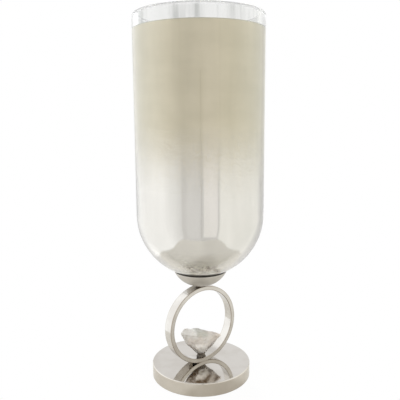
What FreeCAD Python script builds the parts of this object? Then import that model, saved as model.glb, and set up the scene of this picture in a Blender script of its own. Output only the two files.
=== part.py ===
"""Hurricane candle lantern: a glass vessel in a dish, on a ring that holds a quartz crystal.

Millimetres, +Z up, origin at the centre of the underside. The ring's axis lies along Y.
"""
import FreeCAD
import Part
import math
import os
import Sketcher

SIZES = {
    # Base disc, its felt pad and the gap round the pad
    "base_dia": 121.6,
    "base_thick": 16.6,
    "base_top_round": 1.2,
    "base_foot_round": 1.0,
    "pad_rim": 4.8,
    "pad_thick": 1.6,
    "pad_proud": 0.6,
    "pad_clear": 0.3,
    # Bolt that holds the ring and the crystal on the base
    "bolt_dia": 6.0,
    "bolt_head_dia": 10.0,
    "bolt_head_high": 6.0,
    "bolt_socket_flats": 5.0,
    "bolt_socket_deep": 3.0,
    "bolt_head_sink": 0.4,
    "bolt_into_crystal": 6.0,
    "bolt_chamfer": 0.6,
    "counterbore_clear": 1.0,
    "bolt_clear": 0.3,
    "thread_clear": 0.05,
    "spring_washer_dia": 9.8,
    "spring_washer_thick": 1.5,
    "spring_washer_split": 0.8,
    "spring_washer_slant": 25.0,
    # Ring rolled from flat bar
    "ring_dia": 97.6,
    "ring_thick": 5.2,
    "ring_wide": 13.0,
    "ring_flat": 0.5,
    "ring_edge_round": 0.5,
    # Quartz crystal and the resin bed under its foot
    "crystal_wide": 53.4,
    "crystal_deep": 22.0,
    "crystal_high": 30.0,
    "crystal_foot_wide": 10.0,
    "crystal_foot_deep": 8.4,
    "crystal_lift": 3.2,
    "crystal_slope": 0.25,
    "crystal_turn": 19.0,
    "bed_dia": 11.4,
    "bed_waist_dia": 8.8,
    "bed_waist_high": 2.8,
    "bed_crown_dia": 11.8,
    "bed_high": 6.2,
    "bed_clear": 0.05,
    # Dish under the glass
    "dish_foot_dia": 12.0,
    "dish_foot_high": 2.2,
    "dish_floor_thick": 2.3,
    "dish_wall": 1.8,
    "dish_curve": 31.2,
    "dish_rim_dia": 64.4,
    "dish_rim_edge": 0.5,
    "dish_seat_wide": 4.4,
    "dish_floor_dia": 21.0,
    # Stud, washer and nut that hold the dish on the ring
    "stud_dia": 6.0,
    "stud_short": 0.4,
    "stud_proud": 2.4,
    "stud_chamfer": 0.6,
    "dish_washer_dia": 17.0,
    "dish_washer_thick": 1.4,
    "nut_flats": 10.0,
    "dish_nut_high": 5.0,
    "nut_chamfer": 0.7,
    "nut_to_glass": 3.9,
    # Rubber seal between the dish's rim and the glass
    "seal_thick": 0.8,
    "seal_margin": 0.3,
    "seal_clear": 0.05,
    "glass_clear": 0.3,
    # Glass vessel
    "glass_dia": 152.0,
    "glass_straight": 229.7,
    "glass_wall": 6.5,
    "glass_floor": 9.0,
    "glass_hole_dia": 11.0,
    "land_margin": 1.0,
    # Clamp stack inside the glass
    "grommet_flange_dia": 16.0,
    "grommet_flange_thick": 1.2,
    "grommet_clear": 0.3,
    "gasket_dia": 33.0,
    "gasket_thick": 2.0,
    "washer_dia": 27.0,
    "washer_thick": 2.4,
    "collar_dia": 8.0,
    "lip_reach": 0.8,
    "lip_thick": 0.7,
    "lip_recess": 1.0,
    "lip_clear": 0.1,
    "recess_clear": 0.3,
    "collar_clear": 0.08,
    "clamp_nut_high": 6.0,
}

doc = FreeCAD.newDocument("candle_lantern")
sheet = doc.addObject("Spreadsheet::Sheet", "Sizes")
for row, (alias, number) in enumerate(SIZES.items(), start=1):
    sheet.set(f"A{row}", alias)
    sheet.set(f"B{row}", str(number))
    sheet.setAlias(f"B{row}", alias)
doc.recompute()


class Size:
    """A number together with the sheet expression that it comes from."""

    def __init__(self, number, text):
        self.number = number
        self.text = text

    def __add__(self, other):
        other = as_size(other)
        return Size(self.number + other.number, f"({self.text} + {other.text})")

    def __sub__(self, other):
        other = as_size(other)
        return Size(self.number - other.number, f"({self.text} - {other.text})")

    def __mul__(self, other):
        other = as_size(other)
        return Size(self.number * other.number, f"({self.text} * {other.text})")

    def __truediv__(self, other):
        other = as_size(other)
        return Size(self.number / other.number, f"({self.text} / {other.text})")


def as_size(value):
    return value if isinstance(value, Size) else Size(float(value), repr(float(value)))


def root(value):
    return Size(math.sqrt(value.number), f"sqrt({value.text})")


def other_leg(long_side, leg):
    """The third side of a right triangle."""
    return root(long_side * long_side - leg * leg)


def size(alias):
    return Size(sheet.get(alias), f"Sizes.{alias}")


def bind(thing, **sizes):
    """Ties properties of an object to the sheet; Radius1=... sets and binds Radius1."""
    for name, value in sizes.items():
        thing.setExpression(name, as_size(value).text)
    return thing


def lift(thing, height):
    thing.setExpression("Placement.Base.z", as_size(height).text)
    return thing


def named(kind, label):
    thing = doc.addObject(kind, label)
    thing.Label = label
    return thing


def origin_plane(body, role):
    return next(plane for plane in body.Origin.OriginFeatures if plane.Role == role)


def new_sketch(body, name, role):
    sketch = body.newObject("Sketcher::SketchObject", name)
    sketch.AttachmentSupport = [(origin_plane(body, role), "")]
    sketch.MapMode = "FlatFace"
    return sketch


def dimension(sketch, kind, *where):
    """Adds a dimension whose last argument is a Size, and binds it to the sheet."""
    value = where[-1]
    index = sketch.addConstraint(Sketcher.Constraint(kind, *where[:-1], value.number))
    sketch.setExpression(f"Constraints[{index}]", value.text)


def arc_between(start, end, radius, turn):
    """The arc from start to end that turns left (+1) or right (-1) with the given radius."""
    chord = end - start
    middle = (start + end) * 0.5
    left = FreeCAD.Vector(-chord.y, chord.x, 0).normalize()
    depth = math.sqrt(max(radius ** 2 - (chord.Length / 2) ** 2, 0.0))
    centre = middle + left * depth * turn
    angles = [math.atan2(p.y - centre.y, p.x - centre.x) for p in (start, end)]
    first, last = angles if turn > 0 else reversed(angles)
    circle = Part.Circle(centre, FreeCAD.Vector(0, 0, 1), radius)
    return Part.ArcOfCircle(circle, first, last)


def draw_outline(sketch, corners):
    """Draws a closed outline. A corner is (x, y), or (x, y, radius, turn) where an arc starts."""
    places = [FreeCAD.Vector(as_size(c[0]).number, as_size(c[1]).number, 0) for c in corners]
    count = len(corners)
    starts = []
    ends = []
    for index, corner in enumerate(corners):
        here, there = places[index], places[(index + 1) % count]
        if len(corner) == 2:
            sketch.addGeometry(Part.LineSegment(here, there))
            turn = 1
        else:
            turn = corner[3]
            sketch.addGeometry(arc_between(here, there, corner[2].number, turn))
        starts.append(1 if turn > 0 else 2)
        ends.append(2 if turn > 0 else 1)
    for index in range(count):
        after = (index + 1) % count
        sketch.addConstraint(Sketcher.Constraint("Coincident", index, ends[index], after, starts[after]))
    for index, corner in enumerate(corners):
        for kind, value, axis in (("DistanceX", corner[0], -2), ("DistanceY", corner[1], -1)):
            value = as_size(value)
            if value.number == 0:
                sketch.addConstraint(Sketcher.Constraint("PointOnObject", index, starts[index], axis))
            else:
                dimension(sketch, kind, -1, 1, index, starts[index], value)
        if len(corner) > 2:
            dimension(sketch, "Radius", index, corner[2])


def turned(label, corners):
    """A body of revolution about Z from an outline of (radius, height) corners."""
    body = named("PartDesign::Body", label)
    sketch = new_sketch(body, f"{label}_outline", "XZ_Plane")
    draw_outline(sketch, corners)
    turn = body.newObject("PartDesign::Revolution", f"{label}_turn")
    turn.Profile = sketch
    turn.ReferenceAxis = (sketch, ["V_Axis"])
    turn.Angle = 360
    return body


def turned_ring(label, inner, outer, bottom, top):
    return turned(label, [(inner, bottom), (outer, bottom), (outer, top), (inner, top)])


def hexagon_bar(label, across_flats, bottom, high):
    bar = named("Part::Prism", label)
    bar.Polygon = 6
    bind(bar, Circumradius=across_flats / math.sqrt(3), Height=high)
    return lift(bar, bottom)


def boolean(kind, label, base, tool):
    result = named(kind, label)
    result.Base = base
    result.Tool = tool
    return result


# Heights from the floor up to the ring, and the radii that more than one piece shares.
base_top = size("pad_proud") + size("base_thick")
base_radius = size("base_dia") / 2
pad_radius = base_radius - size("pad_rim")
bolt_radius = size("bolt_dia") / 2
bolt_hole = bolt_radius + size("bolt_clear")
head_bottom = size("pad_thick") + size("bolt_head_sink")
head_top = head_bottom + size("bolt_head_high")
counterbore_top = head_top + size("spring_washer_thick")

ring_radius = size("ring_dia") / 2
ring_inside = ring_radius - size("ring_thick")
ring_centre = base_top + ring_radius - size("ring_flat")
ring_top = ring_centre + ring_radius - size("ring_flat")
ring_floor = ring_centre - ring_inside
crystal_bottom = ring_floor + size("crystal_lift")
bolt_end = crystal_bottom + size("bolt_into_crystal")


def make_base():
    counterbore = size("bolt_head_dia") / 2 + size("counterbore_clear")
    recess = pad_radius + size("pad_clear")
    underside = size("pad_proud")
    foot_round = size("base_foot_round")
    top_round = size("base_top_round")
    disc = turned("base_disc", [
        (bolt_hole, counterbore_top),
        (counterbore, counterbore_top),
        (counterbore, size("pad_thick")),
        (recess, size("pad_thick")),
        (recess, underside),
        (base_radius - foot_round, underside, foot_round, 1),
        (base_radius, underside + foot_round),
        (base_radius, base_top - top_round, top_round, 1),
        (base_radius - top_round, base_top),
        (bolt_hole, base_top),
    ])
    pad = named("Part::Cylinder", "base_pad")
    bind(pad, Radius=pad_radius, Height=size("pad_thick"))
    return [disc, pad]


def make_base_bolt():
    chamfer = size("bolt_chamfer")
    head_radius = size("bolt_head_dia") / 2
    blank = turned("base_bolt_blank", [
        (0, head_bottom),
        (head_radius - chamfer, head_bottom),
        (head_radius, head_bottom + chamfer),
        (head_radius, head_top),
        (bolt_radius, head_top),
        (bolt_radius, bolt_end - chamfer),
        (bolt_radius - chamfer, bolt_end),
        (0, bolt_end),
    ])
    socket = hexagon_bar("base_bolt_socket", size("bolt_socket_flats"), head_bottom, size("bolt_socket_deep"))
    bolt = boolean("Part::Cut", "base_bolt", blank, socket)

    whole = turned_ring(
        "base_spring_washer_blank", bolt_hole, size("spring_washer_dia") / 2, head_top, counterbore_top)
    slit = named("Part::Box", "base_spring_washer_slit")
    slit_height = size("spring_washer_thick") * 3
    bind(slit, Length=size("spring_washer_dia"), Width=size("spring_washer_split"), Height=slit_height)
    slit.Placement.Rotation = FreeCAD.Rotation(FreeCAD.Vector(1, 0, 0), size("spring_washer_slant").number)
    slit.setExpression("Placement.Rotation.Angle", size("spring_washer_slant").text)
    lift(slit, head_top - size("spring_washer_thick"))
    washer = boolean("Part::Cut", "base_spring_washer", whole, slit)
    return [bolt, washer]


def circle_at(sketch, height, radius):
    """A circle whose centre lies on the sketch's upright axis."""
    index = sketch.addGeometry(Part.Circle(
        FreeCAD.Vector(0, height.number, 0), FreeCAD.Vector(0, 0, 1), radius.number))
    sketch.addConstraint(Sketcher.Constraint("PointOnObject", index, 3, -2))
    dimension(sketch, "DistanceY", -1, 1, index, 3, height)
    dimension(sketch, "Radius", index, radius)


def make_ring():
    body = named("PartDesign::Body", "ring")
    outline = new_sketch(body, "ring_outline", "XZ_Plane")
    circle_at(outline, ring_centre, ring_radius)
    circle_at(outline, ring_centre, ring_inside)
    band = body.newObject("PartDesign::Pad", "ring_band")
    band.Profile = outline
    band.SideType = "Symmetric"
    bind(band, Length=size("ring_wide"))
    doc.recompute()

    edges = body.newObject("PartDesign::Fillet", "ring_edges")
    rims = [f"Edge{n}" for n, edge in enumerate(band.Shape.Edges, start=1) if edge.isClosed() and
            abs(edge.BoundBox.YLength) < 1e-6]
    edges.Base = (band, rims)
    bind(edges, Radius=size("ring_edge_round"))
    doc.recompute()

    flats = new_sketch(body, "ring_flats", "XZ_Plane")
    for bottom, top in ((base_top - size("ring_flat"), base_top), (ring_top, ring_top + size("ring_flat"))):
        draw_flat(flats, ring_radius, bottom, top)
    cut = body.newObject("PartDesign::Pocket", "ring_flat_cuts")
    cut.Profile = flats
    cut.SideType = "Symmetric"
    cut.Type = "Length"
    bind(cut, Length=size("ring_wide") * 2)

    hole = new_sketch(body, "ring_hole", "XY_Plane")
    index = hole.addGeometry(Part.Circle(FreeCAD.Vector(), FreeCAD.Vector(0, 0, 1), 1))
    hole.addConstraint(Sketcher.Constraint("Coincident", index, 3, -1, 1))
    dimension(hole, "Radius", index, bolt_radius + size("thread_clear"))
    drill = body.newObject("PartDesign::Pocket", "ring_drill")
    drill.Profile = hole
    drill.Reversed = True
    drill.Type = "Length"
    bind(drill, Length=ring_centre)
    doc.recompute()

    stud_hole = new_sketch(body, "ring_stud_hole", "XY_Plane")
    index = stud_hole.addGeometry(Part.Circle(FreeCAD.Vector(), FreeCAD.Vector(0, 0, 1), 1))
    stud_hole.addConstraint(Sketcher.Constraint("Coincident", index, 3, -1, 1))
    dimension(stud_hole, "Radius", index, size("stud_dia") / 2 + size("thread_clear"))
    stud_hole.setExpression("AttachmentOffset.Base.z", ring_centre.text)
    stud_drill = body.newObject("PartDesign::Pocket", "ring_stud_drill")
    stud_drill.Profile = stud_hole
    stud_drill.Reversed = True
    stud_drill.Type = "Length"
    bind(stud_drill, Length=size("ring_dia"))
    return [body]


def draw_flat(sketch, reach, bottom, top):
    """A rectangle, centred on the upright axis, over the part of the ring that is milled off."""
    first = sketch.GeometryCount
    corners = [(-reach.number, bottom.number), (reach.number, bottom.number),
               (reach.number, top.number), (-reach.number, top.number)]
    places = [FreeCAD.Vector(x, y, 0) for x, y in corners]
    for index in range(4):
        sketch.addGeometry(Part.LineSegment(places[index], places[(index + 1) % 4]))
    for index in range(4):
        sketch.addConstraint(Sketcher.Constraint(
            "Coincident", first + index, 2, first + (index + 1) % 4, 1))
    sketch.addConstraint(Sketcher.Constraint("Symmetric", first, 1, first, 2, -2))
    sketch.addConstraint(Sketcher.Constraint("Symmetric", first + 2, 1, first + 2, 2, -2))
    dimension(sketch, "DistanceX", -1, 1, first, 2, reach)
    dimension(sketch, "DistanceX", -1, 1, first + 2, 1, reach)
    dimension(sketch, "DistanceY", -1, 1, first, 2, bottom)
    dimension(sketch, "DistanceY", -1, 1, first + 2, 1, top)


def facet(*corners):
    return Part.Face(Part.makePolygon([*corners, corners[0]]))


def rough_stone(levels, peak):
    """A closed solid of flat facets between rings of corners, with a fan of facets up to the peak."""
    faces = [facet(*reversed(levels[0]))]
    peak_ring = levels[-1]
    count = len(peak_ring)
    for lower, upper in zip(levels, levels[1:]):
        for index in range(count):
            after = (index + 1) % count
            faces.append(facet(lower[index], lower[after], upper[after]))
            faces.append(facet(lower[index], upper[after], upper[index]))
    for index in range(count):
        faces.append(facet(peak_ring[index], peak_ring[(index + 1) % count], peak))
    return Part.Solid(Part.Shell(faces))


def make_crystal():
    """Rough quartz: a broad crown that tapers to a small foot, with ridges that run up from the foot."""
    half_wide = size("crystal_wide").number / 2
    half_deep = size("crystal_deep").number / 2
    high = size("crystal_high").number
    foot_reach = (size("crystal_foot_wide") / size("crystal_wide")).number
    foot_depth = (size("crystal_foot_deep") / size("crystal_deep")).number
    side_slope = size("crystal_slope").number
    ridge_angles = [0, 42, 96, 140, 180, 241, 281]
    unevenness = [0.00, -0.08, 0.05, -0.10, 0.00, 0.06, -0.05]
    rise_share = 0.35

    def corner_ring(up, left, right, depth, rough, lean, nod):
        """Corners on the ridges at a share of the height, each reach a share of a half size.

        Rough is the share of the unevenness, lean tips the ring to the right and nod tips it to the back.
        """
        ring_corners = []
        for degrees, jag in zip(ridge_angles, unevenness):
            angle = math.radians(degrees)
            reach = left
            if math.cos(angle) > 0:
                reach = right
            across = half_wide * reach * math.cos(angle)
            along = half_deep * depth * (1 + rough * jag) * math.sin(angle)
            rise = high * (up + rough * rise_share * jag) - side_slope * lean * across - nod * along
            ring_corners.append(FreeCAD.Vector(across, along, rise))
        return ring_corners

    foot = corner_ring(0.0, foot_reach, foot_reach, foot_depth, rough=0, lean=0, nod=0)
    flank = corner_ring(0.46, left=0.77, right=0.67, depth=0.56, rough=1.0, lean=0.6, nod=0)
    crown = corner_ring(0.85, left=0.98, right=1.0, depth=1.0, rough=-0.7, lean=0.65, nod=0.25)
    shoulder = corner_ring(1.01, left=0.82, right=0.79, depth=0.7, rough=1.0, lean=1.0, nod=0)
    levels = [foot, flank, crown, shoulder]
    peak_left = 0.3
    peak_back = 0.2
    peak_up = 1.09
    peak = FreeCAD.Vector(-peak_left * half_wide, peak_back * half_deep, peak_up * high)
    hole = Part.makeCylinder((bolt_radius + size("thread_clear")).number, size("bolt_into_crystal").number)
    crystal = named("Part::Feature", "quartz_crystal")
    crystal.Shape = rough_stone(levels, peak).cut(hole)
    crystal.Placement = FreeCAD.Placement(
        FreeCAD.Vector(0, 0, crystal_bottom.number),
        FreeCAD.Rotation(FreeCAD.Vector(0, 0, 1), -size("crystal_turn").number))
    return crystal


def make_crystal_bed(crystal):
    """Resin that flares onto the ring below and up round the crystal's foot above."""
    hole = bolt_radius + size("thread_clear")
    deepest = ring_floor - size("ring_flat")
    waist = ring_floor + size("bed_waist_high")
    top = ring_floor + size("bed_high")
    flow = turned("crystal_bed_flow", [
        (hole, deepest),
        (size("bed_dia") / 2, deepest),
        (size("bed_waist_dia") / 2, waist),
        (size("bed_crown_dia") / 2, top),
        (hole, top),
    ])
    inside = named("Part::Cylinder", "ring_inside")
    bind(inside, Radius=ring_inside - size("bed_clear"), Height=size("ring_wide"))
    inside.Placement.Rotation = FreeCAD.Rotation(FreeCAD.Vector(1, 0, 0), 90)
    inside.setExpression("Placement.Base.y", (size("ring_wide") / 2).text)
    lift(inside, ring_centre)
    fitted = boolean("Part::Common", "crystal_bed_on_ring", flow, inside)
    return boolean("Part::Cut", "crystal_bed", fitted, crystal)


# Heights of the dish, the glass and the clamp stack, each from the one below it.
stud_radius = size("stud_dia") / 2
stud_hole = stud_radius + size("bolt_clear")
nut_hole = stud_radius + size("thread_clear")
dish_floor = ring_top + size("dish_foot_high") + size("dish_floor_thick")
dish_washer_top = dish_floor + size("dish_washer_thick")
dish_nut_top = dish_washer_top + size("dish_nut_high")

glass_radius = size("glass_dia") / 2
glass_bottom = dish_nut_top + size("nut_to_glass")
bowl_centre = glass_bottom + glass_radius
glass_top = bowl_centre + size("glass_straight")
land = glass_bottom + size("glass_floor")

seal_top = glass_radius + size("glass_clear")
seal_bottom = seal_top + size("seal_thick")
seat = seal_bottom + size("seal_clear")
rim_radius = size("dish_rim_dia") / 2
seat_inside = rim_radius - size("dish_seat_wide")

gasket_top = land + size("gasket_thick")
washer_top = gasket_top + size("washer_thick")
clamp_nut_top = washer_top + size("clamp_nut_high")


def under_glass(round_radius, radius):
    """Height of the sphere of round_radius about the glass's bowl, at a radius from the axis."""
    return bowl_centre - other_leg(round_radius, radius)


def make_dish():
    """A bowl on a short foot, whose rim has a hollow seat with the glass's own curve, and the seal on it."""
    foot = size("dish_foot_dia") / 2
    rim_top = under_glass(seat, rim_radius)
    dish = turned("dish", [
        (stud_hole, ring_top),
        (foot, ring_top),
        (foot, ring_top + size("dish_foot_high"), size("dish_curve"), 1),
        (rim_radius, rim_top - size("dish_rim_edge")),
        (rim_radius, rim_top, seat, -1),
        (seat_inside, under_glass(seat, seat_inside), size("dish_curve") - size("dish_wall"), -1),
        (size("dish_floor_dia") / 2, dish_floor),
        (stud_hole, dish_floor),
    ])
    inner = seat_inside + size("seal_margin")
    outer = rim_radius - size("seal_margin")
    seal = turned("dish_gasket", [
        (inner, under_glass(seal_bottom, inner), seal_bottom, 1),
        (outer, under_glass(seal_bottom, outer)),
        (outer, under_glass(seal_top, outer), seal_top, -1),
        (inner, under_glass(seal_top, inner)),
    ])
    return [dish, seal]


def make_stud():
    chamfer = size("stud_chamfer")
    bottom = ring_centre + ring_inside + size("stud_short")
    top = clamp_nut_top + size("stud_proud")
    return turned("clamp_stud", [
        (0, bottom),
        (stud_radius - chamfer, bottom),
        (stud_radius, bottom + chamfer),
        (stud_radius, top - chamfer),
        (stud_radius - chamfer, top),
        (0, top),
    ])


def make_dish_fasteners():
    washer = turned_ring("dish_washer", stud_hole, size("dish_washer_dia") / 2, dish_floor, dish_washer_top)
    corner = size("nut_flats") / math.sqrt(3)
    chamfer = size("nut_chamfer")
    blank = turned("dish_nut_blank", [
        (nut_hole, dish_washer_top),
        (corner - chamfer, dish_washer_top),
        (corner, dish_washer_top + chamfer / 2),
        (corner, dish_nut_top - chamfer / 2),
        (corner - chamfer, dish_nut_top),
        (nut_hole, dish_nut_top),
    ])
    bar = hexagon_bar("dish_nut_bar", size("nut_flats"), dish_washer_top, size("dish_nut_high"))
    return [washer, boolean("Part::Common", "dish_nut", blank, bar)]


def make_glass():
    """A straight wall on a half sphere, with a fire-polished lip and a flat land round the hole."""
    hole = size("glass_hole_dia") / 2
    inside = glass_radius - size("glass_wall")
    lip = size("glass_wall") / 2
    land_radius = size("gasket_dia") / 2 + size("land_margin")
    inner_centre = land + other_leg(inside, land_radius)
    return turned("glass_vessel", [
        (hole, bowl_centre - other_leg(glass_radius, hole), glass_radius, 1),
        (glass_radius, bowl_centre),
        (glass_radius, glass_top - lip, lip, 1),
        (glass_radius - lip, glass_top, lip, 1),
        (inside, glass_top - lip),
        (inside, inner_centre, inside, -1),
        (land_radius, land),
        (hole, land),
    ])


def make_glass_seals():
    sleeve = size("glass_hole_dia") / 2 - size("grommet_clear")
    flange_top = glass_bottom - size("grommet_clear")
    flange_bottom = flange_top - size("grommet_flange_thick")
    grommet = turned("hole_grommet", [
        (stud_hole, flange_bottom),
        (size("grommet_flange_dia") / 2, flange_bottom),
        (size("grommet_flange_dia") / 2, flange_top),
        (sleeve, flange_top),
        (sleeve, land),
        (stud_hole, land),
    ])
    gasket = turned_ring("inner_gasket", stud_hole, size("gasket_dia") / 2, land, gasket_top)
    return [grommet, gasket]


def make_clamp():
    """A nut whose collar passes through the washer and is spread under it, so the two stay together."""
    collar = size("collar_dia") / 2
    lip = collar + size("lip_reach")
    bore = collar + size("collar_clear")
    recess = lip + size("recess_clear")
    recess_top = gasket_top + size("lip_recess")
    washer = turned("clamp_washer", [
        (recess, gasket_top),
        (size("washer_dia") / 2, gasket_top),
        (size("washer_dia") / 2, washer_top),
        (bore, washer_top),
        (bore, recess_top),
        (recess, recess_top),
    ])
    lip_top = recess_top - size("lip_clear")
    corner = size("nut_flats") / math.sqrt(3)
    chamfer = size("nut_chamfer")
    hex_bottom = washer_top + size("lip_clear")
    lip_bottom = lip_top - size("lip_thick")
    blank = turned("clamp_nut_blank", [
        (nut_hole, lip_bottom),
        (lip, lip_bottom),
        (lip, lip_top),
        (collar, lip_top),
        (collar, hex_bottom),
        (corner, hex_bottom),
        (corner, clamp_nut_top - chamfer / 2),
        (corner - chamfer, clamp_nut_top),
        (nut_hole, clamp_nut_top),
    ])
    bar = hexagon_bar("clamp_nut_bar", size("nut_flats"), lip_bottom, clamp_nut_top - lip_bottom)
    return [washer, boolean("Part::Common", "clamp_nut", blank, bar)]


crystal = make_crystal()
nodes = make_base() + make_base_bolt() + make_ring()
nodes += [make_crystal_bed(crystal), crystal]
nodes += make_dish() + [make_stud()] + make_dish_fasteners()
nodes += [make_glass()] + make_glass_seals() + make_clamp()
doc.recompute()

for thing in doc.Objects:
    if "Invalid" in thing.State or "Error" in thing.State:
        raise RuntimeError(f"{thing.Label} did not recompute: {thing.State}")
for node in nodes:
    if node.Shape.isNull() or not node.Shape.isValid():
        raise RuntimeError(f"{node.Label} has no valid shape")

os.makedirs("parts", exist_ok=True)
for node in nodes:
    node.Shape.exportStep(f"parts/{node.Label}.step")
    box = node.Shape.optimalBoundingBox()
    print(f"{node.Label}: {len(node.Shape.Solids)} solid, {node.Shape.Volume / 1000:.2f} cm3, "
          f"z {box.ZMin:.2f} to {box.ZMax:.2f}, wide {box.XLength:.1f} x {box.YLength:.1f}")
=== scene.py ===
import math

import bmesh
import bpy
from mathutils import Matrix, Vector, noise


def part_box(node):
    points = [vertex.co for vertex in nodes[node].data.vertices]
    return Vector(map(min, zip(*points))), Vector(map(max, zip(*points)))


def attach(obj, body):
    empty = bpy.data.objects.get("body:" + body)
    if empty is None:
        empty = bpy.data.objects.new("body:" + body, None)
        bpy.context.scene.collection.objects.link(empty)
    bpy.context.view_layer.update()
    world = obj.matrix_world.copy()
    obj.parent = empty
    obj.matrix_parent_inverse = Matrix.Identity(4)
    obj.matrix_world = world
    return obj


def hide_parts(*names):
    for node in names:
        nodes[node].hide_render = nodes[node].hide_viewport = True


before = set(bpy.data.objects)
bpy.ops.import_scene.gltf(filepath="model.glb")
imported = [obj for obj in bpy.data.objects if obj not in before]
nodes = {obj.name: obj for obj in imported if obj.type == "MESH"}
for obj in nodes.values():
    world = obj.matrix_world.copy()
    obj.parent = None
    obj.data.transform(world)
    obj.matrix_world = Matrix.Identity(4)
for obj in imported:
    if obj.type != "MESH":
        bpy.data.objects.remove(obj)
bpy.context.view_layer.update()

scene = bpy.context.scene


# Felt pad: a disc of dark pressed felt, glued into the hollow underside of the base.
# Its fibres lie in all directions, so the colour and the nap are both a fine noise.

def new_material(name):
    """An empty node tree with a Principled shader wired to its output."""
    material = bpy.data.materials.new(name)
    material.use_nodes = True
    tree = material.node_tree
    shader = next(node for node in tree.nodes if node.type == "BSDF_PRINCIPLED")
    return material, tree, shader


def colour_mix(tree, mask, first, second, blend="MIX"):
    """Blends two colours, each a tuple or a socket, as the mask goes from 0 to 1."""
    mix = tree.nodes.new("ShaderNodeMix")
    mix.data_type = "RGBA"
    mix.blend_type = blend
    tree.links.new(mask, mix.inputs[0])
    for socket, colour in zip(mix.inputs[6:8], (first, second)):
        if isinstance(colour, tuple):
            socket.default_value = (*colour, 1)
        else:
            tree.links.new(colour, socket)
    return mix.outputs[2]


def stretch(tree, value, low, high, new_low, new_high, smooth=False):
    """Maps a value from one span to another, clamped at both ends."""
    span = tree.nodes.new("ShaderNodeMapRange")
    span.interpolation_type = "SMOOTHSTEP" if smooth else "LINEAR"
    for socket, number in zip(span.inputs[1:5], (low, high, new_low, new_high)):
        socket.default_value = number
    tree.links.new(value, span.inputs[0])
    return span.outputs[0]


def grain(tree, scale, detail=4.0, roughness=0.55, squash=(1, 1, 1), shift=(0, 0, 0)):
    """Noise on the piece's own coordinates, squashed along its axes and shifted."""
    place = tree.nodes.new("ShaderNodeTexCoord")
    mapping = tree.nodes.new("ShaderNodeMapping")
    mapping.inputs["Scale"].default_value = squash
    mapping.inputs["Location"].default_value = shift
    texture = tree.nodes.new("ShaderNodeTexNoise")
    texture.inputs["Scale"].default_value = scale
    texture.inputs["Detail"].default_value = detail
    texture.inputs["Roughness"].default_value = roughness
    tree.links.new(place.outputs["Object"], mapping.inputs["Vector"])
    tree.links.new(mapping.outputs["Vector"], texture.inputs["Vector"])
    return texture.outputs["Fac"]


def bump(tree, shader, height, strength, distance):
    """Raises a surface by a height map; distance is the height of a full step, in metres."""
    node = tree.nodes.new("ShaderNodeBump")
    node.inputs["Strength"].default_value = strength
    node.inputs["Distance"].default_value = distance
    tree.links.new(height, node.inputs["Height"])
    tree.links.new(node.outputs["Normal"], shader.inputs["Normal"])


def dress(material, *names):
    """Gives CAD nodes a material."""
    for name in names:
        nodes[name].material_slots[0].material = material


felt_dark = (0.018, 0.017, 0.016)
felt_light = (0.07, 0.066, 0.062)
fibres_per_metre = 2600

felt, tree, shader = new_material("dark_felt")
fibres = grain(tree, fibres_per_metre, detail=6, roughness=0.7)
nap = stretch(tree, fibres, 0.3, 0.7, 0, 1)
tree.links.new(colour_mix(tree, nap, felt_dark, felt_light), shader.inputs["Base Color"])
shader.inputs["Roughness"].default_value = 0.95
shader.inputs["Sheen Weight"].default_value = 0.3
bump(tree, shader, fibres, strength=0.6, distance=0.0004)
dress(felt, "base_pad")


# Base disc: a turned disc, polished and nickel plated, that carries everything else.
# The plate is warm grey and mirror bright, with faint hand marks that soften it in patches.
# The turned side and the round of the top edge are a little duller, and tinted darker and warmer: partly the
# duller turned finish, partly painted shade for the shaded table they reflect.

marks = bpy.data.node_groups.new("polish_marks", "ShaderNodeTree")
for label, way in (
    ("Patch Scale", "INPUT"),
    ("Scratch Scale", "INPUT"),
    ("Patches", "OUTPUT"),
    ("Scratches", "OUTPUT"),
):
    marks.interface.new_socket(label, in_out=way, socket_type="NodeSocketFloat")
marks_in = marks.nodes.new("NodeGroupInput")
marks_out = marks.nodes.new("NodeGroupOutput")
place = marks.nodes.new("ShaderNodeTexCoord")
noises = {}
for kind, detail, roughness in (("Patch", 3.0, 0.5), ("Scratch", 2.0, 0.6)):
    texture = marks.nodes.new("ShaderNodeTexNoise")
    texture.inputs["Detail"].default_value = detail
    texture.inputs["Roughness"].default_value = roughness
    marks.links.new(place.outputs["Object"], texture.inputs["Vector"])
    marks.links.new(marks_in.outputs[kind + " Scale"], texture.inputs["Scale"])
    noises[kind] = texture.outputs["Fac"]
soft_patches = stretch(marks, noises["Patch"], 0.35, 0.65, 0, 1, smooth=True)
marks.links.new(soft_patches, marks_out.inputs["Patches"])
marks.links.new(noises["Scratch"], marks_out.inputs["Scratches"])


def polished(name, dark, light, rough_low, rough_high, patch_scale, scratch_scale, scratch_depth):
    """A bare metal whose colour and roughness wander a little with the polish marks."""
    material, tree, shader = new_material(name)
    group = tree.nodes.new("ShaderNodeGroup")
    group.node_tree = marks
    group.inputs["Patch Scale"].default_value = patch_scale
    group.inputs["Scratch Scale"].default_value = scratch_scale
    shader.inputs["Metallic"].default_value = 1.0
    patches = group.outputs["Patches"]
    tree.links.new(colour_mix(tree, patches, dark, light), shader.inputs["Base Color"])
    tree.links.new(stretch(tree, patches, 0, 1, rough_high, rough_low), shader.inputs["Roughness"])
    bump(tree, shader, group.outputs["Scratches"], strength=0.15, distance=scratch_depth)
    return material, tree, shader


def object_axes(tree):
    """The piece's own X, Y and Z."""
    place = tree.nodes.new("ShaderNodeTexCoord")
    split = tree.nodes.new("ShaderNodeSeparateXYZ")
    tree.links.new(place.outputs["Object"], split.inputs[0])
    return split.outputs


def tinted(tree, colour, mask, tint):
    """A colour that is multiplied by a tint where the mask is 1."""
    return colour_mix(tree, mask, colour, tint, blend="MULTIPLY")


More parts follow.
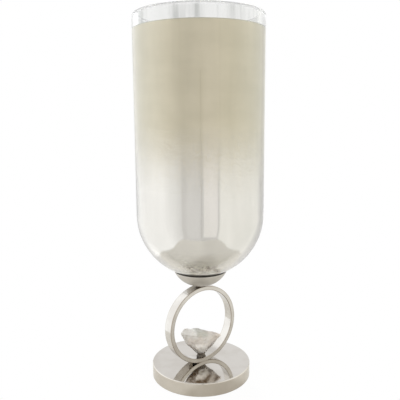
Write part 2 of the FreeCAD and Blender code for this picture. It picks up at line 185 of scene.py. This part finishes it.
def tinted_and_roughened(tree, shader, mask, tint, roughness):
    """Multiplies a finish's colour by a tint, for a duller finish or for painted shade, and moves its
    roughness where the mask is 1.
    """
    colour = shader.inputs["Base Color"].links[0].from_socket
    smooth = shader.inputs["Roughness"].links[0].from_socket
    tree.links.new(tinted(tree, colour, mask, tint), shader.inputs["Base Color"])
    change = tree.nodes.new("ShaderNodeMix")
    change.inputs[3].default_value = roughness
    tree.links.new(mask, change.inputs[0])
    tree.links.new(smooth, change.inputs[2])
    tree.links.new(change.outputs[0], shader.inputs["Roughness"])


side_finish_and_shade_tint = (0.895, 0.87, 0.825)
top_edge_depths = (0.0005, 0.0001)

base_nickel, tree, shader = polished(
    "mirror_nickel", dark=(0.585, 0.555, 0.515), light=(0.64, 0.615, 0.58),
    rough_low=0.05, rough_high=0.09, patch_scale=38, scratch_scale=900, scratch_depth=0.000004)
base_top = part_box("base_disc")[1][2]
edge_low, edge_high = [base_top - depth for depth in top_edge_depths]
# Painted shade, partly a duller finish, on the side and the top edge's round.
side_finish_and_shade = stretch(tree, object_axes(tree)["Z"], edge_low, edge_high, 1, 0)
tinted_and_roughened(tree, shader, side_finish_and_shade, side_finish_and_shade_tint, roughness=0.1)
dress(base_nickel, "base_disc")


# Ring: a flat bar rolled into a ring, polished by hand and nickel plated.
# The bolt holds it to the base through its bottom, and the stud stands in its top.
# Its two flat faces are duller than the round ones, and its edges are tinted darker and browner and are
# rougher.

def math_node(tree, operation, first, second=0):
    """The result of a sum on two values, each a socket or a number."""
    node = tree.nodes.new("ShaderNodeMath")
    node.operation = operation
    for socket, value in zip(node.inputs, (first, second)):
        if isinstance(value, (int, float)):
            socket.default_value = value
        else:
            tree.links.new(value, socket)
    return node.outputs[0]


bar_thick = 0.0052
flat_face_tint = (0.83, 0.81, 0.785)
flat_face_depths = (0.00005, 0.0002)
darker_edge_tint = (0.70, 0.65, 0.585)
darker_edge_depths = (0.0004, 0.0011)

ring_nickel, tree, shader = polished(
    "hand_polished_nickel", dark=(0.54, 0.515, 0.48), light=(0.60, 0.58, 0.545),
    rough_low=0.12, rough_high=0.20, patch_scale=60, scratch_scale=900, scratch_depth=0.00001)
ring_low, ring_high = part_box("ring")
half_wide = (ring_high[1] - ring_low[1]) / 2
middle_radius = (ring_high[0] - ring_low[0] - bar_thick) / 2
axes = object_axes(tree)
upright = math_node(tree, "SUBTRACT", axes["Z"], (ring_low[2] + ring_high[2]) / 2)
across_squared = math_node(tree, "MULTIPLY", axes["X"], axes["X"])
upright_squared = math_node(tree, "MULTIPLY", upright, upright)
from_axis = math_node(tree, "POWER", math_node(tree, "ADD", across_squared, upright_squared), 0.5)
from_middle = math_node(tree, "ABSOLUTE", math_node(tree, "SUBTRACT", from_axis, middle_radius))
below_round = math_node(tree, "SUBTRACT", bar_thick / 2, from_middle)
below_flat = math_node(tree, "SUBTRACT", half_wide, math_node(tree, "ABSOLUTE", axes["Y"]))
flat_face = stretch(tree, below_flat, *flat_face_depths, 1, 0)
tinted_and_roughened(tree, shader, flat_face, flat_face_tint, roughness=0.24)
from_edge = math_node(tree, "MAXIMUM", below_round, below_flat)
darker_edge = stretch(tree, from_edge, *darker_edge_depths, 1, 0)
tinted_and_roughened(tree, shader, darker_edge, darker_edge_tint, roughness=0.3)
dress(ring_nickel, "ring")


# Bolt, spring washer, stud, washers and nuts: standard zinc plated steel.
# They hold the stand together from below and clamp the glass from inside.

zinc = polished(
    "zinc_plated_steel", dark=(0.42, 0.42, 0.41), light=(0.58, 0.58, 0.56),
    rough_low=0.22, rough_high=0.42, patch_scale=300, scratch_scale=2200, scratch_depth=0.00002)[0]
dress(zinc, "base_bolt", "base_spring_washer", "clamp_stud", "dish_washer", "dish_nut")
dress(zinc, "clamp_washer", "clamp_nut")


# Resin bed: dark resin full of mineral grains, in which the crystal's foot stands on the ring.
# It flowed round the bolt and set, so its skin is lumpy and glints in places.

def copy_of(name):
    """A merged copy of a CAD node's mesh, in the frame's own coordinates."""
    bm = bmesh.new()
    bm.from_mesh(nodes[name].data)
    bm.transform(nodes[name].matrix_world)
    bmesh.ops.remove_doubles(bm, verts=bm.verts[:], dist=0.00002)
    bmesh.ops.dissolve_limit(bm, angle_limit=math.radians(1), verts=bm.verts[:], edges=bm.edges[:])
    return bm


def broken_stone(name, grid, lump_high, lumps_per_metre, chip_high, chips_per_metre):
    """A copy of a node with its ridges worn round and its faces broken into lumps and chips."""
    bm = copy_of(name)
    for _ in range(5):
        bmesh.ops.triangulate(bm, faces=bm.faces[:])
        long_edges = [edge for edge in bm.edges if edge.calc_length() > grid]
        bmesh.ops.subdivide_edges(bm, edges=long_edges, cuts=1)
    bmesh.ops.triangulate(bm, faces=bm.faces[:])
    for _ in range(3):
        bmesh.ops.smooth_vert(
            bm, verts=bm.verts[:], factor=0.5, use_axis_x=True, use_axis_y=True, use_axis_z=True)
    bm.normal_update()
    for vert in bm.verts:
        lump = lump_high * noise.noise(vert.co * lumps_per_metre)
        chip = chip_high * noise.noise(vert.co * chips_per_metre)
        vert.co += vert.normal * (lump + chip)
    bmesh.ops.recalc_face_normals(bm, faces=bm.faces[:])
    return bm


def finish_piece(bm, name, material):
    """Turns a bmesh into a smooth object with one material."""
    mesh = bpy.data.meshes.new(name)
    bm.to_mesh(mesh)
    bm.free()
    mesh.shade_smooth()
    mesh.materials.append(material)
    piece = bpy.data.objects.new(name, mesh)
    scene.collection.objects.link(piece)
    return piece


resin_dark = (0.02, 0.014, 0.009)
resin_grain = (0.24, 0.195, 0.145)
grains_per_metre = 900

resin, tree, shader = new_material("dark_grained_resin")
speckle = grain(tree, grains_per_metre, detail=6, roughness=0.7)
specks = stretch(tree, speckle, 0.38, 0.66, 0, 1)
tree.links.new(colour_mix(tree, specks, resin_dark, resin_grain), shader.inputs["Base Color"])
tree.links.new(stretch(tree, speckle, 0.3, 0.7, 0.25, 0.6), shader.inputs["Roughness"])
bump(tree, shader, speckle, strength=0.8, distance=0.0006)
bm = broken_stone(
    "crystal_bed", grid=0.0009, lump_high=0.0009, lumps_per_metre=330,
    chip_high=0.0006, chips_per_metre=800)
bed = finish_piece(bm, "grained_bed", resin)
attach(bed, "stand")
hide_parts("crystal_bed")


# Quartz crystal: rough milky quartz with broad broken facets, pink blushes, painted shade on its right side
# and under it, and grey green at the crown.
# Its foot stands in the resin on the bolt's end. Its ridges are worn round, and dark grains of its bed rock
# cling low on both flanks.

def slant_of(tree):
    """How far a face is turned from the eye: 0 where it is seen squarely, most at the outline."""
    weight = tree.nodes.new("ShaderNodeLayerWeight")
    weight.inputs["Blend"].default_value = 0.5
    return weight.outputs["Facing"]


crystal_turn = math.radians(19)
crystal_foot = 0.0251
clouds_per_metre = 90
blushes_per_metre = 48
pits_per_metre = 260
shaded_side_span = (-0.004, 0.016)
crown_widths = (0.005, 0.011)
crown_heights = (0.024, 0.029)
under_span = (-0.13, -0.43)
square_slants = (0.1, 0.34)
tip_heights = (0.006, 0.014)
flank_slope = 0.85
flank_span = (-0.001, 0.0055)
bed_rock_heights = (0.013, 0.018)
milk_dark = (0.68, 0.66, 0.62)
milk_light = (0.90, 0.885, 0.85)
blush_tint = (0.95, 0.90, 0.87)
shaded_side_tint = (0.80, 0.775, 0.75)
crown_tint = (0.64, 0.645, 0.60)
underside_shade_tint = (0.235, 0.16, 0.09)
tip_tint = (0.82, 0.80, 0.78)
bed_rock_tint = (0.14, 0.11, 0.085)

quartz, tree, shader = new_material("milky_quartz")
place = tree.nodes.new("ShaderNodeTexCoord")
turned = tree.nodes.new("ShaderNodeMapping")
turned.inputs["Rotation"].default_value = (0, 0, crystal_turn)
turned.inputs["Location"].default_value = (0, 0, -crystal_foot)
split = tree.nodes.new("ShaderNodeSeparateXYZ")
tree.links.new(place.outputs["Object"], turned.inputs["Vector"])
tree.links.new(turned.outputs["Vector"], split.inputs[0])
along = split.outputs["X"]
up = split.outputs["Z"]
across = math_node(tree, "ABSOLUTE", along)

cloud = stretch(tree, grain(tree, clouds_per_metre, detail=6, roughness=0.6), 0.36, 0.64, 0, 1)
blush = stretch(tree, grain(tree, blushes_per_metre, detail=3), 0.42, 0.58, 0, 1)
# Painted shade, a little warm, darkens the crystal's right side.
shaded_side = stretch(tree, along, *shaded_side_span, 0, 1, smooth=True)
middle = stretch(tree, across, *crown_widths, 1, 0, smooth=True)
upper = stretch(tree, up, *crown_heights, 0, 1, smooth=True)
crown = math_node(tree, "MULTIPLY", middle, upper)
colour = colour_mix(tree, cloud, milk_dark, milk_light)
colour = tinted(tree, colour, blush, blush_tint)
colour = tinted(tree, colour, shaded_side, shaded_side_tint)
colour = tinted(tree, colour, crown, crown_tint)

# Faces that turn downward get a painted shade of dark brown, strongest where they are seen squarely and
# fading out at a slant.
facing = tree.nodes.new("ShaderNodeSeparateXYZ")
tree.links.new(place.outputs["Normal"], facing.inputs[0])
under = stretch(tree, facing.outputs["Z"], *under_span, 0, 1)
squarely = stretch(tree, slant_of(tree), *square_slants, 1, 0)
colour = tinted(tree, colour, math_node(tree, "MULTIPLY", under, squarely), underside_shade_tint)
tip = stretch(tree, up, *tip_heights, 1, 0, smooth=True)
colour = tinted(tree, colour, tip, tip_tint)

above_flank = math_node(tree, "SUBTRACT", up, math_node(tree, "MULTIPLY", across, flank_slope))
low_flank = stretch(tree, above_flank, *flank_span, 1, 0, smooth=True)
near_bed = stretch(tree, up, *bed_rock_heights, 1, 0, smooth=True)
specks = stretch(tree, grain(tree, grains_per_metre, detail=3, roughness=0.6), 0.46, 0.56, 0, 1)
dirty = math_node(tree, "MULTIPLY", math_node(tree, "MULTIPLY", low_flank, near_bed), specks)
colour = tinted(tree, colour, dirty, bed_rock_tint)
tree.links.new(colour, shader.inputs["Base Color"])
shader.inputs["Roughness"].default_value = 0.32
shader.inputs["IOR"].default_value = 1.54
shader.inputs["Subsurface Weight"].default_value = 0.3
shader.inputs["Subsurface Radius"].default_value = (0.005, 0.005, 0.0045)
bump(tree, shader, grain(tree, pits_per_metre, detail=5, roughness=0.6), strength=0.5, distance=0.0012)

bm = broken_stone(
    "quartz_crystal", grid=0.0013, lump_high=0.0010, lumps_per_metre=110,
    chip_high=0.0003, chips_per_metre=300)
crystal = finish_piece(bm, "quartz_stone", quartz)
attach(crystal, "stand")
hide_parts("quartz_crystal")


# Dish: a turned bowl with a satin nickel plate, held down on the ring's top by a nut on the stud.
# The narrow neck below it is painted dark, as painted shade in the gap between the dish and the ring.

neck_shade_heights = (0.0019, 0.0025)
neck_shade_tint = (0.2, 0.15, 0.11)

dish_nickel, tree, shader = polished(
    "turned_nickel", dark=(0.43, 0.405, 0.36), light=(0.485, 0.455, 0.41),
    rough_low=0.46, rough_high=0.50, patch_scale=45, scratch_scale=900, scratch_depth=0.000006)
shader.inputs["Metallic"].default_value = 0.7
dish_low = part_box("dish")[0][2]
neck_low, neck_high = [dish_low + height for height in neck_shade_heights]
neck_shade = stretch(tree, object_axes(tree)["Z"], neck_low, neck_high, 1, 0)
tinted_and_roughened(tree, shader, neck_shade, neck_shade_tint, roughness=0.6)
dress(dish_nickel, "dish")


# Rubber: the seal on the dish's seat, the grommet in the hole of the glass and the gasket inside.
# Moulded black rubber with a dull skin and a little bloom.

rubber_black = (0.014, 0.011, 0.008)
rubber_bloom = (0.05, 0.043, 0.034)
bloom_per_metre = 220
pores_per_metre = 1800

rubber, tree, shader = new_material("black_rubber")
bloom = grain(tree, bloom_per_metre, detail=5)
tree.links.new(colour_mix(tree, bloom, rubber_black, rubber_bloom), shader.inputs["Base Color"])
tree.links.new(stretch(tree, bloom, 0.3, 0.7, 0.45, 0.7), shader.inputs["Roughness"])
shader.inputs["Specular IOR Level"].default_value = 0.2
bump(tree, shader, grain(tree, pores_per_metre), strength=0.25, distance=0.00005)
dress(rubber, "dish_gasket", "hole_grommet", "inner_gasket")


# Glass vessel: thick clear glass with a round bottom and a fire-polished lip.
# It sits on the seal and is clamped through the hole in its bottom.
# Faint streaks show in the clear band that the lustre leaves free below the lip.

film_top = 0.4182
glass_dark = (0.77, 0.77, 0.755)
glass_light = (0.84, 0.84, 0.83)
streak_tint = (0.62, 0.63, 0.62)
streaks_per_metre = 60
ripples_per_metre = 14
lip_rough_depths = (0.0048, 0.0025)
lip_thin_depths = (0.004, 0.002)

glass, tree, shader = new_material("clear_glass")
height = object_axes(tree)["Z"]
clear_band = stretch(tree, height, film_top - 0.001, film_top, 0, 1)
streaks = grain(tree, streaks_per_metre, detail=3, squash=(1, 1, 0.1), shift=(0.1, 0, 0))
streaks = stretch(tree, streaks, 0.52, 0.66, 0, 1)
waves = grain(tree, streaks_per_metre, detail=2, squash=(1, 1, 0.12))
waves = stretch(tree, waves, 0.35, 0.65, 0, 1)
colour = colour_mix(tree, waves, glass_dark, glass_light)
colour = tinted(tree, colour, math_node(tree, "MULTIPLY", clear_band, streaks), streak_tint)
tree.links.new(colour, shader.inputs["Base Color"])
glass_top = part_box("glass_vessel")[1][2]
rough_from, rough_to = [glass_top - depth for depth in lip_rough_depths]
thin_from, thin_to = [glass_top - depth for depth in lip_thin_depths]
lip_rough = stretch(tree, height, rough_from, rough_to, 0, 0.35)
lip_thin = stretch(tree, height, thin_from, thin_to, 1, 0.3)
tree.links.new(lip_rough, shader.inputs["Roughness"])
tree.links.new(lip_thin, shader.inputs["Alpha"])
shader.inputs["IOR"].default_value = 1.5
shader.inputs["Transmission Weight"].default_value = 1.0
bump(tree, shader, grain(tree, ripples_per_metre, detail=1), strength=0.05, distance=0.0006)
dress(glass, "glass_vessel")


# Lustre: a film of metal on the inside of the glass, silver in the bowl and matt champagne above.
# It is sprayed on, so one finish passes into the other in fine dots.
# Its outer face lies 0.3 mm within the glass's wall, where a film bonded to the glass is seen.

def arc(bm, start, centre, angle, steps):
    """Spins a vertex in the upright plane and returns the last vertex of the arc."""
    spun = bmesh.ops.spin(bm, geom=[start], cent=centre, axis=(0, -1, 0), angle=angle, steps=steps)
    return next(item for item in spun["geom_last"] if isinstance(item, bmesh.types.BMVert))


def step_to(bm, start, place):
    """Extrudes a vertex to a place and returns the new vertex."""
    grown = bmesh.ops.extrude_vert_indiv(bm, verts=[start])
    end = grown["verts"][0]
    end.co = place
    return end


wall_radius = 0.0695
bowl_height = 0.20486
film_depth = 0.0003
film_thick = 0.0001
land_radius = 0.0175
bowl_steps = 40
round_steps = 192

film_outside = wall_radius + film_depth
film_inside = film_outside - film_thick
bowl_centre = (0, 0, bowl_height)
bm = bmesh.new()
tilt = math.asin(land_radius / film_outside)
first = bm.verts.new((land_radius, 0, bowl_height - film_outside * math.cos(tilt)))
side = arc(bm, first, bowl_centre, math.pi / 2 - tilt, bowl_steps)
lip = step_to(bm, side, (film_outside, 0, film_top))
edge = step_to(bm, lip, (film_inside, 0, film_top))
side = step_to(bm, edge, (film_inside, 0, bowl_height))
last = arc(bm, side, bowl_centre, tilt - math.pi / 2, bowl_steps)
bm.edges.new((last, first))
bmesh.ops.spin(
    bm, geom=bm.verts[:] + bm.edges[:], cent=(0, 0, 0), axis=(0, 0, 1), angle=2 * math.pi,
    steps=round_steps, use_merge=True)
bmesh.ops.remove_doubles(bm, verts=bm.verts[:], dist=0.00001)
bmesh.ops.recalc_face_normals(bm, faces=bm.faces[:])


def dotted(tree, amount, spray):
    """A share of 0 to 1 that is laid down as fine dots of spray."""
    return stretch(tree, math_node(tree, "ADD", amount, spray), 0.4, 0.6, 0, 1)


silver = (0.695, 0.671, 0.633)
champagne_square = (0.77, 0.70, 0.537)
champagne_sheen = (0.88, 0.843, 0.715)
brushed_tint = (0.95, 0.95, 0.94)
haze_light_tint = (1.36, 1.34, 1.25)
rim_tint = (1.2, 1.2, 1.2)
film_edge_shade_tint = (0.80, 0.83, 0.88)
fade_heights = (0.242, 0.328)
fade_tilt_x = 0.06
fade_tilt_y = -0.045
fade_drift = 0.03
drifts_per_metre = 9
brushes_per_metre = 22
dots_per_metre = 2200
specks_per_metre = 200
haze_heights = (0.152, 0.176)
speck_heights = (0.1535, 0.159)
dish_edge_heights = (0.1455, 0.149)
seal_heights = (0.1424, 0.1436)
low_rim_heights = (0.165, 0.180)
rim_slants = (0.205, 0.25)
sheen_slants = (0.06, 0.32)
mirror_roughness = 0.07
matt_roughness = 0.5
haze_metal = 0.1
inner_let_through = 0.1

lustre, tree, shader = new_material("lustre_film")
axes = object_axes(tree)
height = axes["Z"]
spray = stretch(tree, grain(tree, dots_per_metre, detail=2, roughness=0.5), 0.36, 0.64, -0.5, 0.5)
slant = slant_of(tree)

# The champagne coat ends in a line that leans a little and wanders.
tilt_x = math_node(tree, "MULTIPLY", axes["X"], fade_tilt_x)
tilt_y = math_node(tree, "MULTIPLY", axes["Y"], fade_tilt_y)
drift = grain(tree, drifts_per_metre, detail=3, squash=(1, 1, 0.5))
drift = math_node(tree, "MULTIPLY", drift, fade_drift)
line = math_node(tree, "ADD", drift, math_node(tree, "ADD", tilt_x, tilt_y))
cover = stretch(tree, math_node(tree, "ADD", height, line), *fade_heights, -0.1, 1.1)
matt = dotted(tree, cover, spray)
# The champagne is painted paler towards the outline, as a painted sheen.
slant_sheen = stretch(tree, slant, *sheen_slants, 0, 1)
brushed = grain(tree, brushes_per_metre, detail=3, squash=(1, 1, 2.5))
brushed = stretch(tree, brushed, 0.35, 0.65, 0, 1)
champagne = colour_mix(tree, slant_sheen, champagne_square, champagne_sheen)
champagne = tinted(tree, champagne, brushed, brushed_tint)
colour = colour_mix(tree, matt, silver, champagne)

# The inner skin is told from the outer by which way its faces point from the bowl's centre.
place = tree.nodes.new("ShaderNodeTexCoord")
from_bowl = tree.nodes.new("ShaderNodeVectorMath")
from_bowl.operation = "SUBTRACT"
from_bowl.inputs[1].default_value = bowl_centre
outward = tree.nodes.new("ShaderNodeVectorMath")
outward.operation = "DOT_PRODUCT"
tree.links.new(place.outputs["Object"], from_bowl.inputs[0])
tree.links.new(from_bowl.outputs[0], outward.inputs[0])
tree.links.new(place.outputs["Normal"], outward.inputs[1])
inner_side = stretch(tree, outward.outputs["Value"], -0.005, 0.005, 1, 0)
outer_side = stretch(tree, inner_side, 0, 1, 1, 0)

# Low in the bowl the silver is hazy, and the haze is painted lighter than the silver, as painted light.
# Specks of the haze are worn off above the dish, and along the seal and towards the rim the silver is bright
# again, with a painted sheen along the rim low in the bowl.
rim = stretch(tree, slant, *rim_slants, 0, 1)
speck_zone = stretch(tree, height, *speck_heights, 1, 0)
above_dish = stretch(tree, height, *dish_edge_heights, 0, 1)
specks = grain(tree, specks_per_metre, detail=2, shift=(0, 0, 0.005))
specks = stretch(tree, specks, 0.36, 0.64, -0.75, 0.75)
specks = math_node(tree, "MULTIPLY", specks, speck_zone)
worn = math_node(tree, "SUBTRACT", specks, math_node(tree, "MULTIPLY", rim, 1.3))
worn = math_node(tree, "MULTIPLY", worn, above_dish)
worn = math_node(tree, "MULTIPLY", worn, outer_side)
by_seal = stretch(tree, height, *seal_heights, 1.6, 0)
thick = math_node(tree, "SUBTRACT", stretch(tree, height, *haze_heights, 1.1, -0.1), by_seal)
haze = dotted(tree, math_node(tree, "ADD", thick, worn), spray)
# Painted light: the haze's colour is lifted above the silver's.
colour = tinted(tree, colour, haze, haze_light_tint)
# Painted sheen: the outline low in the bowl is brightened.
low_rim_sheen = math_node(tree, "MULTIPLY", rim, stretch(tree, height, *low_rim_heights, 1, 0))
colour = tinted(tree, colour, low_rim_sheen, rim_tint)
# A painted shade along the film's top edge, darker and a little cooler.
film_edge_shade = stretch(tree, height, film_top - 0.0012, film_top - 0.0004, 0, 1)
tree.links.new(tinted(tree, colour, film_edge_shade, film_edge_shade_tint), shader.inputs["Base Color"])
cloudy = math_node(tree, "MAXIMUM", matt, haze)
tree.links.new(stretch(tree, cloudy, 0, 1, mirror_roughness, matt_roughness), shader.inputs["Roughness"])

# The inner skin is matt, and it lets a little light through, so that the inside isn't black.
dull = math_node(tree, "MAXIMUM", inner_side, haze)
tree.links.new(stretch(tree, dull, 0, 1, 1, haze_metal), shader.inputs["Metallic"])
behind = tree.nodes.new("ShaderNodeNewGeometry").outputs["Backfacing"]
let_through = math_node(tree, "MAXIMUM", behind, inner_let_through)
let_through = math_node(tree, "MULTIPLY", inner_side, let_through)
tree.links.new(math_node(tree, "SUBTRACT", 1, let_through), shader.inputs["Alpha"])
film = finish_piece(bm, "lustre_film", lustre)
film.data.set_sharp_from_angle(angle=math.radians(40))
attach(film, "vessel")


# Studio camera: it stands in front of the lantern and to its left, a little above the middle of the glass.
# It looks slightly down, and its lens and roll give the frame of the picture.

camera_side = math.radians(-36)
camera_away = 0.612
camera_height = 0.3194
camera_tilt = math.radians(80.87)
camera_roll = math.radians(-0.41)

toward_camera = Vector((math.sin(camera_side), -math.cos(camera_side), 0))
camera_right = Vector((math.cos(camera_side), math.sin(camera_side), 0))
camera = bpy.data.objects.new("camera", bpy.data.cameras.new("camera"))
camera.data.sensor_width = 36
camera.data.sensor_fit = "HORIZONTAL"
camera.data.lens = 46.46
camera.data.clip_start = 0.01
camera_place = Matrix.Translation(toward_camera * camera_away + Vector((0, 0, camera_height)))
camera_turn = Matrix.Rotation(camera_side, 4, "Z") @ Matrix.Rotation(camera_tilt, 4, "X")
camera.matrix_world = camera_place @ camera_turn @ Matrix.Rotation(camera_roll, 4, "Z")
scene.collection.objects.link(camera)
scene.camera = camera


# Studio lights: a large soft light on each side and a smaller one to the left and right of the camera.
# The large left one is a row of panels that grow dimmer towards the camera.

def soft_light(name, place, inward, low, high, half_width, brightness, colour):
    """An upright rectangle of light that faces inward; brightness is what a mirror sees in it."""
    lamp = bpy.data.lights.new(name, "AREA")
    lamp.shape = "RECTANGLE"
    lamp.size = 2 * half_width
    lamp.size_y = high - low
    lamp.energy = math.pi * brightness * lamp.size * lamp.size_y
    lamp.color = colour
    holder = bpy.data.objects.new(name, lamp)
    facing = inward.to_track_quat("-Z", "Y").to_matrix().to_4x4()
    holder.matrix_world = Matrix.Translation(place + Vector((0, 0, (low + high) / 2))) @ facing
    scene.collection.objects.link(holder)


box_away = 0.6
box_low = -0.55
box_high = 0.9
right_forward = 0.18
front_low = -0.5
front_left_aside = 0.22
front_right_aside = 0.345
panel_ends = (-0.95, 0.3, 0.42, 0.53, 0.65, 0.78, 0.93)
panel_levels = (0.56, 0.48, 0.41, 0.34, 0.27, 0.20)
left_colour = (0.96, 1.0, 1.04)
for back_end, front_end, brightness in zip(panel_ends, panel_ends[1:], panel_levels):
    middle = (back_end + front_end) / 2
    panel_place = toward_camera * middle - camera_right * box_away
    soft_light("left_softbox", panel_place, camera_right, box_low, box_high,
               front_end - middle, brightness, left_colour)
right_place = toward_camera * right_forward + camera_right * box_away
soft_light("right_softbox", right_place, -camera_right, box_low, box_high,
           half_width=0.68, brightness=0.35, colour=(1.0, 1.03, 0.95))

front_left_place = toward_camera - camera_right * front_left_aside
soft_light("front_left", front_left_place, -front_left_place, front_low, box_high,
           half_width=0.21, brightness=0.06, colour=(1.0, 1.0, 1.0))
front_right_place = toward_camera + camera_right * front_right_aside
soft_light("front_right", front_right_place, -front_right_place, front_low, box_high,
           half_width=0.235, brightness=0.32, colour=(1.03, 0.985, 0.965))


# Tent slit: a narrow strip of dark cloth beside the camera, where the light tent opens.
# It is seen only in the metal, as a thin dark line down the silver.

slit_half_wide = 0.015
slit_half_high = 0.47
slit_place = (0.035, -0.95, -0.03)

bm = bmesh.new()
bmesh.ops.create_grid(bm, x_segments=1, y_segments=1, size=1.0)
stand_up = Matrix.Rotation(math.radians(90), 3, "X")
turn_to_camera = Matrix.Rotation(camera_side, 3, "Z")
bmesh.ops.rotate(bm, cent=(0, 0, 0), matrix=stand_up, verts=bm.verts[:])
bmesh.ops.scale(bm, vec=(slit_half_wide, 1, slit_half_high), verts=bm.verts[:])
bmesh.ops.translate(bm, vec=slit_place, verts=bm.verts[:])
bmesh.ops.rotate(bm, cent=(0, 0, 0), matrix=turn_to_camera, verts=bm.verts[:])
dark_cloth, tree, shader = new_material("dark_cloth")
shader.inputs["Base Color"].default_value = (0.03, 0.03, 0.03, 1)
shader.inputs["Roughness"].default_value = 0.9
slit = finish_piece(bm, "tent_slit", dark_cloth)
slit.visible_camera = False
slit.visible_transmission = False


# Table: a small white table top with round corners, narrower in front of the lantern than behind it.
# It has a painted shadow just in front of the base, and is white to the camera as the background is.
# Each row of its mesh has a half width and a depth.

table_rows = {-1: (0.195, -0.28), 0: (0.172, -0.1), 1: (0.215, 0.11)}
corner_radius = 0.09
table_white = (0.96, 0.935, 0.865)
table_shade = (0.62, 0.575, 0.49)
shade_place = toward_camera * 0.064 + camera_right * 0.024
shade_inner = 0.034
shade_outer = 0.058
white_to_camera = 0.97
white_in_mirrors = 0.39

bm = bmesh.new()
bmesh.ops.create_grid(bm, x_segments=1, y_segments=2, size=1.0)
corners = [vert for vert in bm.verts if abs(vert.co.y) > 0.5]
for vert in bm.verts:
    half_width, depth = table_rows[round(vert.co.y)]
    vert.co.x *= half_width
    vert.co.y = depth
bmesh.ops.bevel(
    bm, geom=corners, affect="VERTICES", offset=corner_radius, segments=16, profile=0.5, material=-1)
bmesh.ops.rotate(bm, cent=(0, 0, 0), matrix=turn_to_camera, verts=bm.verts[:])

table_top, tree, shader = new_material("white_table")
place = tree.nodes.new("ShaderNodeTexCoord")
from_shade = tree.nodes.new("ShaderNodeVectorMath")
from_shade.operation = "DISTANCE"
from_shade.inputs[1].default_value = shade_place
tree.links.new(place.outputs["Object"], from_shade.inputs[0])
# A soft painted shadow on the table just in front of the base.
shade = stretch(tree, from_shade.outputs["Value"], shade_inner, shade_outer, 1, 0, smooth=True)
tree.links.new(colour_mix(tree, shade, table_white, table_shade), shader.inputs["Base Color"])
shader.inputs["Roughness"].default_value = 0.9
shader.inputs["Specular IOR Level"].default_value = 0.1
white = tree.nodes.new("ShaderNodeEmission")
white.inputs["Color"].default_value = (1, 1, 1, 1)
white.inputs["Strength"].default_value = 1.0
ray = tree.nodes.new("ShaderNodeLightPath")
seen = math_node(tree, "MULTIPLY", ray.outputs["Is Camera Ray"], white_to_camera)
mirrored = math_node(tree, "MULTIPLY", ray.outputs["Is Glossy Ray"], white_in_mirrors)
blend = tree.nodes.new("ShaderNodeMixShader")
output = next(node for node in tree.nodes if node.type == "OUTPUT_MATERIAL")
tree.links.new(math_node(tree, "ADD", seen, mirrored), blend.inputs[0])
tree.links.new(shader.outputs[0], blend.inputs[1])
tree.links.new(white.outputs[0], blend.inputs[2])
tree.links.new(blend.outputs[0], output.inputs["Surface"])
table = finish_piece(bm, "table", table_top)


# Background: a plain white studio all round, at a strength of 1, with colours shown as they are written.

world = bpy.data.worlds.new("white_studio")
scene.world = world
world.use_nodes = True
back = next(node for node in world.node_tree.nodes if node.type == "BACKGROUND")
back.inputs["Color"].default_value = (1, 1, 1, 1)
back.inputs["Strength"].default_value = 1.0

scene.view_settings.view_transform = "Standard"
